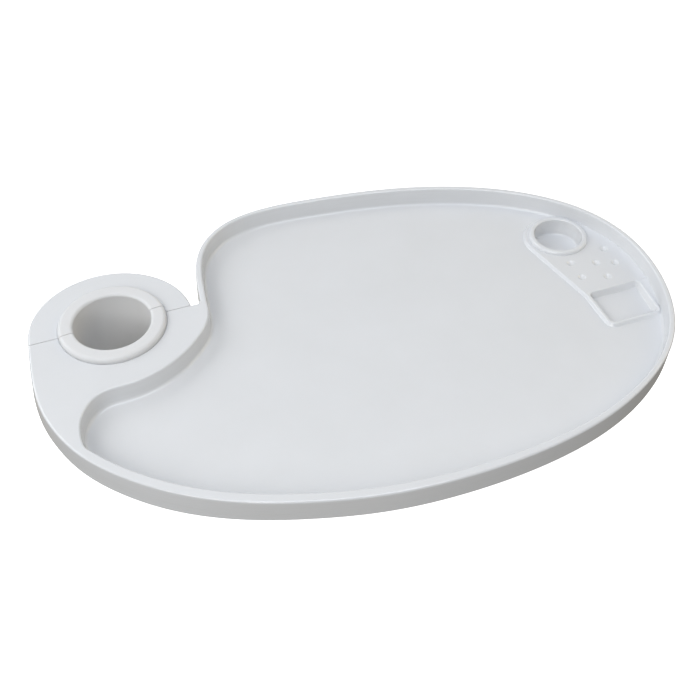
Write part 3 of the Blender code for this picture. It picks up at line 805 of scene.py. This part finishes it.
def hub_pockets(clamp, middle):
    """The two hollows of one half of the hub, open below, either side of its middle rib."""
    half_rib = HOLLOW_RIB / (2 * collar_radius(clamp))
    spread = math.radians(HOLLOW_SPREAD)
    made = []
    for first, last in ((middle - spread, middle - half_rib), (middle + half_rib, middle + spread)):
        ways = rays(np.linspace(first, last, HOLLOW_POINTS))
        inner = (clamp.bushing_radius + clamp.swivel_gap + HOLLOW_INNER_WALL) * ways
        outer = (collar_radius(clamp) - HOLLOW_OUTER_WALL) * ways
        plan = np.vstack((inner, outer[::-1]))
        made.append(prism("hub_pocket", plan, -HOLLOW_ROOF, -clamp.hub_depth - OVERRUN))
    return made


def deck_pocket(edge, dish, tray, clamp):
    """The hollow below the deck, between hub, skirt and dish wall, crossed by ribs."""
    foot = -tray.dish_depth - tray.floor - OVERRUN
    inside = edge - edge_normals(edge) * tray.skirt_wall
    pocket = prism("deck_pocket", inside, -tray.floor, foot)
    outside = dish + outward(dish, True) * tray.dish_wall
    wall = prism("deck_pocket_wall", outside, OVERRUN, foot - OVERRUN)
    radius = collar_radius(clamp) - OVERRUN
    profile = ((0, OVERRUN), (radius, OVERRUN), (radius, foot - OVERRUN), (0, foot - OVERRUN))
    hub = turned("deck_pocket_hub", profile)
    reach = tray.front
    back = block("deck_pocket_back", (-reach, -tray.skirt_wall, foot - OVERRUN), (reach, reach, OVERRUN))
    low, high = (clamp.bushing_radius, -tray.rib / 2, foot - OVERRUN), (reach, tray.rib / 2, OVERRUN)
    ribs = [block("deck_rib", low, high, math.radians(angle)) for angle in DECK_RIB_ANGLES]
    return combine(pocket, "DIFFERENCE", [wall, hub, back] + ribs)


def rim_channel(edge, tray):
    """The V-shaped channel in the rim's underside: a triangle carried along the edge, closed at both ends."""
    out = edge_normals(edge)
    first, last = (round(share * (len(edge) - 1)) for share in CHANNEL_SPAN)
    bottom = -tray.dish_depth - tray.floor - OVERRUN
    flare, width = eased(SKIRT_FLARES, edge), rim_widths(tray, edge)
    thick = flare + width + tray.dish_draft
    corners = [(flare - thick * share, bottom) for share in CHANNEL_FOOT] + [(-width / 2, -tray.channel_roof)]
    sections = np.stack([level(edge + out * across, height) for across, height in corners], axis=1)
    return shell("rim_channel", sections[first:last])


def recess_sides(platform, recess_x):
    """Where the recess's slanting far side lies at the rear and in front."""
    return [recess_x + platform.recess_width / 2 * share for share in RECESS_FAR_SHARES]


def recess_ends(platform):
    """Where the recess's rear and front sides lie."""
    half = platform.recess_length / 2
    return half - platform.recess_forward, -half - platform.recess_forward


def recess_outline(platform, recess_x, grow):
    """The recess's rounded outline, grown on every side: a quarter round at each corner. Its far side slants."""
    radius = platform.recess_corner + grow
    rear, front = recess_ends(platform)
    left = recess_x - platform.recess_width / 2
    right, right_front = recess_sides(platform, recess_x)
    corners = np.array(((right, rear), (left, rear), (left, front), (right_front, front)))
    inward = np.array(((-1, -1), (1, -1), (1, 1), (-1, 1)))
    centres = corners + inward * platform.recess_corner
    angles = (np.arange(4)[:, None] + np.linspace(0, 1, CORNER_POINTS)) * math.pi / 2
    return (centres[:, None] + radius * rays(angles)).reshape(-1, 2)


def wall_line(edge, tray):
    """A line just inside the dish's wall, where pieces of the floor end."""
    return edge - edge_normals(edge) * (rim_widths(tray, edge) - INTO_WALL)


def from_wall(arc, wall):
    """The part of an arc from where it leaves a wall, or comes nearest to it."""
    near = np.argmin(np.linalg.norm(arc[:, None] - wall, axis=2), axis=1)
    apart = ((wall[near] - arc) * outward(wall, False)[near]).sum(axis=1)
    apart = np.maximum(apart, NEAR_WALL)[::-1]
    return arc[len(arc) - 1 - np.argmin(apart):]


def platform_solid(edge, tray, platform, recess_x, well):
    """The raised platform: its edge rounds the well, runs straight to the recess and ends in the dish's far wall."""
    rear, front = recess_ends(platform)
    margin = platform.well_radius + platform.ring_wall + platform.margin
    angles = np.radians(np.linspace(*PLATFORM_ARC, ARC_POINTS))
    wall = wall_line(edge, tray)
    arc = from_wall(np.array(well) + margin * rays(angles), wall)
    left = recess_x - platform.recess_width / 2 - platform.recess_lip
    straight = np.stack((np.full(3, left), np.linspace(rear, front, 3)), axis=1)
    outline = recess_outline(platform, recess_x, platform.recess_lip).reshape(4, CORNER_POINTS, 2)
    right = np.array(((recess_sides(platform, recess_x)[0] + platform.recess_lip, rear),))
    beyond = wall[(wall[:, 0] > arc[0, 0]) & (wall[:, 1] > rear)]
    line = np.vstack((arc, straight[:2], outline[2], outline[3], right, beyond))
    # The part of the outline that lies in the wall has no slope
    out = outward(line, True)
    out[-len(beyond) - 1:] = 0
    out[0] = 0
    top = platform.height - tray.dish_depth
    profile = [(platform.edge * across, top - platform.edge * down) for across, down in PLATFORM_EDGE]
    profile += [(platform.slope * across, -tray.dish_depth + up) for across, up in PLATFORM_FOOT]
    profile += [(platform.slope, -tray.dish_depth - tray.floor / 2)]
    return carried("platform", line, out, profile)


def ramp_solid(edge, tray, platform, recess_x):
    """The slope that leads from the platform down to the dish's floor, right of the recess.

    Its top lies a little below both, so that no two faces share a plane.
    """
    rear, front = recess_ends(platform)
    rear, front = rear + platform.slope, front - platform.recess_lip
    base = -tray.dish_depth - tray.floor / 2
    high, low = platform.height - tray.dish_depth - RAMP_SUNK, -tray.dish_depth - RAMP_SUNK
    wall = wall_line(edge, tray)
    right = wall[(wall[:, 0] > recess_x) & (wall[:, 1] < rear + OVERRUN) & (wall[:, 1] > front)]
    sides = [
        ((at_rear, rear, base), (at_rear, rear, high), (in_front, front, low), (in_front, front, base))
        for at_rear, in_front in (recess_sides(platform, recess_x), (right[-1][0], right[0][0]))
    ]
    return shell("ramp", np.array(sides))


def recess_tub(tray, platform, recess_x):
    """The recess's walls and floor below the tray."""
    outline = recess_outline(platform, recess_x, platform.recess_lip)
    low = platform.height - tray.dish_depth - platform.recess_depth - UNDER_FLOOR
    return prism("recess_tub", outline, -tray.dish_depth, low)


def recess_space(tray, platform, recess_x):
    """The recess: rounded top edge, walls that lean in, and a small fillet at the floor."""
    top = platform.height - tray.dish_depth
    floor, draft = top - platform.recess_depth, platform.recess_draft
    rings = [(RECESS_MOUTH, top + OVERRUN)] + top_round(0, top, RECESS_MOUTH, -RECESS_MOUTH, 5)
    rings += foot_round(-draft, floor, -RECESS_FOOT, RECESS_FOOT, 5) + [(-draft - RECESS_FOOT * 1.3, floor)]
    grid = np.stack([level(recess_outline(platform, recess_x, grow), height) for grow, height in rings])
    return shell("recess_space", grid)


def well_cup(platform, ring_top, well):
    """The round well's raised lip, rounded outside, and its cup below the tray: a profile turned about Z."""
    radius, slope = platform.well_radius + platform.ring_wall, platform.ring_slope
    bottom = ring_top - platform.well_depth - UNDER_FLOOR
    profile = [(0, ring_top), (radius - slope * 1.1, ring_top)]
    profile += top_round(radius, ring_top, -slope, -platform.ring_height) + [(radius, bottom), (0, bottom)]
    return turned("well_cup", profile, centre=(*well, 0))


def well_space(platform, ring_top, well):
    """The well's inside: rounded lip, leaning wall, fillet and flat floor."""
    radius, lip = platform.well_radius, platform.ring_lip
    low = ring_top - platform.well_depth
    wall = radius - platform.well_draft
    profile = [(0, ring_top + OVERRUN), (radius + lip, ring_top + OVERRUN)] + top_round(radius, ring_top, lip, -lip)
    profile += foot_round(wall, low, -WELL_FOOT, WELL_FOOT, 5) + [(wall - WELL_FOOT * 1.2, low), (0, low)]
    return turned("well_space", profile, centre=(*well, 0))


def dimple_spaces(platform, top, recess_x):
    """Six shallow cups in three columns of two: a rounded mouth and a bottom that is part of a ball."""
    made = []
    radius, depth = platform.dimple_radius, platform.dimple_depth
    mouth = radius * DIMPLE_MOUTH
    at_radius, at_bowl = (mouth * share for share in MOUTH_DEPTHS)
    shares = np.linspace(1, 0, 8)
    bowl = [((radius - mouth) * share, -at_bowl - (depth - at_bowl) * (1 - share ** 2)) for share in shares]
    profile = [(0, OVERRUN), (radius + mouth, OVERRUN), (radius + mouth, 0), (radius, -at_radius)] + bowl
    for across, along in DIMPLE_COLUMN_SHARES:
        for row in (0.5, -0.5):
            x = recess_x + across * platform.recess_width
            y = -platform.dimple_forward + (along + row) * platform.dimple_pitch
            made.append(turned("dimple", profile, SMALL_TURN_STEPS, (x, y, top)))
    return made


def hole_along_y(name, radius, near, far, side, clamp):
    """A round hole on a screw's axis, between two distances behind the post's axis."""
    hole = turned(name, ((0, far), (radius, far), (radius, near), (0, near)), SMALL_TURN_STEPS)
    return on_screw_axis(hole, side, clamp)


def build_moulding():
    """The moulded tray: dish, rim, deck and platform, with the front half of the collar and hub."""
    tray, platform, clamp = sizes()
    coarse = tray_edge(tray, clamp)
    dish = finer(dish_edge(coarse, tray, clamp), True)
    edge = finer(coarse, False)
    top = platform.height - tray.dish_depth
    ring_top = top + platform.ring_height
    well = (tray.reach - platform.well_from_end, -platform.well_forward)
    recess_x = tray.reach - platform.recess_from_end
    line = collar_line(clamp)
    body = tray_solid(edge, tray)
    hub = carried("hub_front", line, outward(line, True), [(0, -tray.floor / 2)] + hub_foot(clamp))
    hollows = [dish_space(dish, tray), deck_pocket(edge, dish, tray, clamp), rim_channel(edge, tray)]
    combine(body, "DIFFERENCE", hollows)
    combine(body, "UNION", [
        hub,
        platform_solid(edge, tray, platform, recess_x, well),
        ramp_solid(edge, tray, platform, recess_x),
        recess_tub(tray, platform, recess_x),
        well_cup(platform, ring_top, well),
    ])
    cuts = [behind_parting("behind_parting", tray, clamp), collar_opening(clamp)]
    cuts += [well_space(platform, ring_top, well), recess_space(tray, platform, recess_x)]
    combine(body, "DIFFERENCE", cuts + dimple_spaces(platform, top, recess_x))
    depth = INSERT_SUNK + clamp.insert_length + INSERT_PLAY
    radius = clamp.insert_radius + INSERT_PLAY
    holes = [hole_along_y("insert_hole", radius, -depth, OVERRUN, side, clamp) for side in (-1, 1)]
    return combine(body, "DIFFERENCE", hub_pockets(clamp, -math.pi / 2) + holes)


def build_cap():
    """The rear half of the collar, bored for two screws from behind."""
    tray, _, clamp = sizes()
    radius, rounding = collar_radius(clamp), clamp.collar_edge
    line = collar_line(clamp)
    profile = [(-rounding * 1.1, 0)] + top_round(0, 0, -rounding, -rounding) + hub_foot(clamp)
    cap = carried("clamp_cap_moulding", line, outward(line, True), profile)
    cuts = [behind_parting("ahead_of_parting", tray, clamp, math.pi), collar_opening(clamp)]
    for side in (-1, 1):
        cuts.append(hole_along_y("cap_hole", clamp.screw_radius + SCREW_PLAY, -OVERRUN, radius, side, clamp))
        cuts.append(hole_along_y("cap_bore", CAP_BORE, clamp.cap_seat, radius + OVERRUN, side, clamp))
    return combine(cap, "DIFFERENCE", cuts + hub_pockets(clamp, math.pi / 2))


def build_bushing(name, turn):
    """Half of the sleeve between post and collar: rounded shoulder above the deck and a rib in the groove."""
    clamp = sizes()[2]
    radius, high, low = clamp.bushing_radius, clamp.bushing_proud, -clamp.hub_depth
    bore, ledge = radius - clamp.bushing_wall, -clamp.groove_depth
    shoulder, small = clamp.bushing_shoulder, clamp.bushing_edge
    flange = radius + clamp.swivel_gap + MOUTH_BACK - clamp.groove_width
    rib, half = radius + RIB_HEIGHT, RIB_WIDTH / 2
    profile = [(flange - shoulder * 1.06, high)] + top_round(flange, high, -shoulder, -shoulder, 10)
    profile += [(flange, ledge), (radius, ledge), (radius, -RIB_DROP + half), (rib, -RIB_DROP + half)]
    profile += [(rib, -RIB_DROP - half), (radius, -RIB_DROP - half), (radius, low), (bore, low)]
    profile += top_round(bore, high, small, -small, 6)[::-1] + [(bore + small * 1.1, high)]
    sleeve = turned(name, profile)
    reach = collar_radius(clamp) + OVERRUN
    start, end = (-reach, -clamp.bushing_split / 2, low - OVERRUN), (reach, reach, high + OVERRUN)
    return combine(sleeve, "DIFFERENCE", [block(name + "_other", start, end, turn)])


def build_screw(name, side):
    """A socket-head screw laid along Y: knurled head, hexagonal socket and a helical thread.

    The thread's radius falls from its crest by a triangle wave of height less angle, so that it climbs one pitch a
    turn; the head's radius falls by a fine wave round its side, which is the knurl.
    """
    clamp = sizes()[2]
    angles = full_turn(FINE_TURN_STEPS)
    head, high = clamp.head_radius, clamp.head_height
    knurl = HEAD_KNURL * (0.5 - 0.5 * np.cos(angles * HEAD_RIDGES))
    plain = np.zeros(FINE_TURN_STEPS)
    rows = [(0.0, high, plain), (head - CHAMFER * 1.5, high, plain), (head - CHAMFER, high - CHAMFER * 0.1, plain)]
    rows += [(head, high - CHAMFER, knurl), (head, CHAMFER, knurl), (head - CHAMFER / 2, 0.0, plain)]
    rows += [(clamp.screw_radius, 0.0, plain)]
    pitch, tip = clamp.thread_pitch, -clamp.screw_length
    for height in np.arange(-pitch, tip + CHAMFER, -pitch / 4):
        wave = np.abs(((height / pitch - angles / (2 * math.pi)) % 1) * 2 - 1)
        rows.append((clamp.screw_radius, height, THREAD_DEPTH * wave))
    rows += [(clamp.screw_radius - CHAMFER * 1.4, tip, plain), (0.0, tip, plain)]
    screw = dented(name, rows, "poles")
    flats = clamp.socket_across / math.sqrt(3) * rays(full_turn(6))
    rings = [(share, high + up) for share, up in SOCKET_TOP_RINGS]
    rings += [(share, high - clamp.socket_depth + up) for share, up in SOCKET_BOTTOM_RINGS]
    socket = shell("socket", np.stack([level(flats * share, height) for share, height in rings]))
    combine(screw, "DIFFERENCE", [socket])
    return on_screw_axis(screw, side, clamp, clamp.cap_seat + WASHER_THICK + 2 * WASHER_GAP)


def build_washer(name, side):
    """A stamped washer laid along Y, with one rounded side."""
    clamp = sizes()[2]
    low = clamp.cap_seat + WASHER_GAP
    high = low + WASHER_THICK
    profile = top_round(WASHER_RADIUS, high, -WASHER_EDGE, -WASHER_EDGE, 5)
    profile += [(WASHER_RADIUS, low), (WASHER_BORE, low)]
    profile += top_round(WASHER_BORE, high, WASHER_EDGE, -WASHER_EDGE, 5)[::-1]
    return on_screw_axis(turned(name, profile, SMALL_TURN_STEPS), side, clamp)


def build_insert(name, side):
    """A threaded brass insert laid along Y: two knurled bands with a plain groove between.

    Each band's radius falls by a wave round its side, and the groove is a smaller radius between them.
    """
    clamp = sizes()[2]
    knurl = INSERT_KNURL * (0.5 - 0.5 * np.cos(full_turn(FINE_TURN_STEPS) * INSERT_RIDGES))
    plain = np.zeros(FINE_TURN_STEPS)
    outer, groove = clamp.insert_radius, clamp.insert_radius - INSERT_GROOVE
    high = -clamp.parting_gap / 2 - INSERT_SUNK
    low = high - clamp.insert_length
    third = clamp.insert_length / 3
    rows = [
        (INSERT_BORE, high, plain), (groove, high, plain), (outer, high - INSERT_LEAD, knurl),
        (outer, high - third, knurl), (groove, high - third - INSERT_STEP, plain),
        (groove, low + third + INSERT_STEP, plain), (outer, low + third, knurl), (outer, low + INSERT_LEAD, knurl),
        (groove, low, plain), (INSERT_BORE, low, plain),
    ]
    return on_screw_axis(dented(name, rows, "meet"), side, clamp)


class TRAY_OT_moulding(bpy.types.Operator):
    """Build the moulded tray"""

    bl_idname = "instrument_tray.moulding"
    bl_label = "Moulded tray"

    def execute(self, context):
        colours = context.scene.finish_colours
        finish = moulded_abs("moulded_satin_abs", colours.plastic, colours.plastic_shade)
        finish_piece(build_moulding(), finish, "tray", ["tray_body"])
        return {"FINISHED"}


class TRAY_OT_cap(bpy.types.Operator):
    """Build the clamp cap"""

    bl_idname = "instrument_tray.cap"
    bl_label = "Clamp cap"

    def execute(self, context):
        finish = bpy.data.materials["moulded_satin_abs"]
        finish_piece(build_cap(), finish, "tray", ["clamp_cap"])
        return {"FINISHED"}


class TRAY_OT_bushing(bpy.types.Operator):
    """Build both halves of the bushing"""

    bl_idname = "instrument_tray.bushing"
    bl_label = "Split bushing"

    def execute(self, context):
        finish = turned_acetal("turned_acetal", context.scene.finish_colours.bearing)
        base = math.radians(SPLIT_TURN)
        for label, turn in (("front", base), ("rear", base + math.pi)):
            half = build_bushing("bushing_" + label + "_sleeve", turn)
            finish_piece(half, finish, "post_bushing", ["bushing_" + label])
        return {"FINISHED"}


class TRAY_OT_fasteners(bpy.types.Operator):
    """Build the screws, washers and threaded inserts"""

    bl_idname = "instrument_tray.fasteners"
    bl_label = "Screws, washers and inserts"

    def execute(self, context):
        colours = context.scene.finish_colours
        zinc = plated_metal("zinc_plated_steel", colours.zinc, colours.zinc_shade, 0.26, 0.6)
        brass = plated_metal("machined_brass", colours.brass, colours.brass_shade, 0.24, 0.5)
        for label, side in (("left", -1), ("right", 1)):
            screw = build_screw("socket_screw_" + label, side)
            finish_piece(screw, zinc, "tray", ["clamp_screw_" + label])
            washer = build_washer("plain_washer_" + label, side)
            finish_piece(washer, zinc, "tray", ["washer_" + label])
            insert = build_insert("threaded_insert_" + label, side)
            finish_piece(insert, brass, "tray", ["insert_" + label])
        return {"FINISHED"}


def soft_light(name, place, aim, size, power, tint):
    """A large square lamp that faces a point."""
    lamp = bpy.data.lights.new(name, "AREA")
    lamp.shape = "SQUARE"
    lamp.size = size
    lamp.energy = power
    lamp.color = linear(tint)[:3]
    obj = linked(name, lamp)
    obj.location = place
    obj.rotation_euler = (Vector(aim) - Vector(place)).to_track_quat("-Z", "Y").to_euler()


def even_light(studio):
    """Even light from all round: a bluish sky that brightens to the rear over a warm ground that darkens sideways.

    The sky's strength is its own value plus a share of how far the direction points to the rear. A glow low behind
    and beside the tray fades out at a height of 0.45. The ground's strength is its own value less a share of how far
    the direction points to either side. Sky and ground blend between the heights -0.04 and 0.04.
    """
    world = bpy.data.worlds.new("even_light")
    world.use_nodes = True
    tree = world.node_tree
    direction = add_node(tree, "ShaderNodeTexCoord").outputs["Generated"]
    axes = add_node(tree, "ShaderNodeSeparateXYZ", {"Vector": direction}).outputs
    aside = add_node(tree, "ShaderNodeMath", {0: axes["X"]}, operation="ABSOLUTE").outputs["Value"]
    above, below, behind, beside, fade = (
        add_node(
            tree, "ShaderNodeMapRange", {"Value": value, "From Max": far, "To Min": first, "To Max": last}
        ).outputs["Result"]
        for value, far, first, last in (
            (axes["Y"], 1.0, studio.sky, studio.sky + studio.sky_rear),
            (aside, 1.0, studio.ground, studio.ground * (1 - studio.ground_fall)),
            (axes["Y"], 1.0, 0.0, studio.glow_rear),
            (aside, 1.0, 0.0, studio.glow_side),
            (axes["Z"], 0.45, 1.0, 0.0),
        )
    )
    glow = add_node(tree, "ShaderNodeMath", {0: behind, 1: beside}, operation="ADD").outputs["Value"]
    above = add_node(tree, "ShaderNodeMath", {0: glow, 1: fade, 2: above}, operation="MULTIPLY_ADD").outputs["Value"]
    height = add_node(
        tree, "ShaderNodeMapRange", {"Value": axes["Z"], "From Min": -0.04, "From Max": 0.04}
    ).outputs["Result"]
    strength = add_node(tree, "ShaderNodeMix", {"Factor": height, "A": below, "B": above}, data_type="FLOAT")
    tints = {"Factor": height, "A": linear("#FFFAF3"), "B": linear("#FCFEFF")}
    tint = add_node(tree, "ShaderNodeMix", tints, data_type="RGBA")
    fill(tree.nodes["Background"], {"Strength": strength.outputs["Result"], "Color": tint.outputs["Result"]})
    return world


def studio_floor(tone):
    """A round white floor that curves up into a wall: a level line, a quarter round and an upright, turned about Z.

    It shows to the camera alone, and the even light stands for what it throws back.
    """
    low, reach, bend, high = -1.2, 3.0, 1.5, 4.0
    profile = [(0.001, low), (reach * 0.5, low)]
    profile += [(reach + bend * (1 - down), low + bend * (1 - across)) for across, down in 1 - quarter(16)[::-1]]
    profile = np.array(profile + [(reach + bend, high)])
    grid = spun(profile[:, :1], profile[:, 1:], FINE_TURN_STEPS)
    mesh = bpy.data.meshes.new("studio_floor")
    mesh.from_pydata(grid.reshape(-1, 3).tolist(), [], grid_faces(*grid.shape[:2]))
    mesh.shade_smooth()
    mesh.materials.append(studio_white("studio_paper", tone))
    floor = linked("studio_floor", mesh)
    for ray in ("diffuse", "glossy", "transmission", "volume_scatter", "shadow"):
        setattr(floor, "visible_" + ray, False)
    return floor


class TRAY_OT_stage(bpy.types.Operator):
    """Set up the camera, the lights and the floor"""

    bl_idname = "instrument_tray.stage"
    bl_label = "Studio"

    def execute(self, context):
        studio = context.scene.studio_settings
        camera = bpy.data.cameras.new("photo_camera")
        camera.lens = studio.lens
        camera.sensor_width = 36.0
        camera.clip_start = 0.01
        camera.clip_end = 50
        camera_obj = linked("photo_camera", camera)
        camera_obj.location = studio.camera_place
        camera_obj.rotation_euler = Vector(studio.camera_aim).to_track_quat("-Z", "Y").to_euler()
        context.scene.camera = camera_obj
        middle, width = (0.15, -0.05, 0.0), 0.9
        for name, place, power, tint in (
            ("top_softbox", (0.15, -0.3, 1.5), studio.top_power, "#EEF4FF"),
            ("left_softbox", (-1.1, -0.05, 0.85), studio.left_power, "#FFFFFF"),
            ("front_left_softbox", (-0.75, -1.0, 0.85), studio.front_power, "#FFFDF9"),
            ("right_softbox", (1.4, -0.05, 0.7), studio.right_power, "#FFEDC8"),
            ("rear_left_softbox", (-0.75, 0.9, 0.9), studio.rear_power, "#FFFFFF"),
        ):
            soft_light(name, place, middle, width, power, tint)
        context.scene.world = even_light(studio)
        context.scene.view_settings.view_transform = "Standard"
        studio_floor(context.scene.finish_colours.floor)
        return {"FINISHED"}


OPERATORS = (TRAY_OT_stage, TRAY_OT_moulding, TRAY_OT_cap, TRAY_OT_bushing, TRAY_OT_fasteners)


class TRAY_PT_panel(bpy.types.Panel):
    """Sizes, colours and the steps that build the tray"""

    bl_idname = "TRAY_PT_panel"
    bl_label = "Instrument tray"
    bl_space_type = "VIEW_3D"
    bl_region_type = "UI"
    bl_category = "Tray"

    def draw(self, context):
        layout = self.layout
        for operator in OPERATORS:
            layout.operator(operator.bl_idname)
        for name, group in GROUPS:
            box = layout.box()
            box.label(text=group.__doc__)
            for field in group.__annotations__:
                box.prop(getattr(context.scene, name), field)


def register():
    """Register the groups, operators and panel, and hang the groups on the scene."""
    for name, group in GROUPS:
        bpy.utils.register_class(group)
        setattr(bpy.types.Scene, name, bpy.props.PointerProperty(type=group))
    for item in OPERATORS + (TRAY_PT_panel,):
        bpy.utils.register_class(item)


def unregister():
    """Undo what register did."""
    for item in reversed(OPERATORS + (TRAY_PT_panel,)):
        bpy.utils.unregister_class(item)
    for name, group in reversed(GROUPS):
        delattr(bpy.types.Scene, name)
        bpy.utils.unregister_class(group)


def main():
    """Register, then build everything in order."""
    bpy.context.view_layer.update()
    register()
    bpy.ops.instrument_tray.stage()
    bpy.ops.instrument_tray.moulding()
    bpy.ops.instrument_tray.cap()
    bpy.ops.instrument_tray.bushing()
    bpy.ops.instrument_tray.fasteners()


if __name__ == "__main__":
    main()
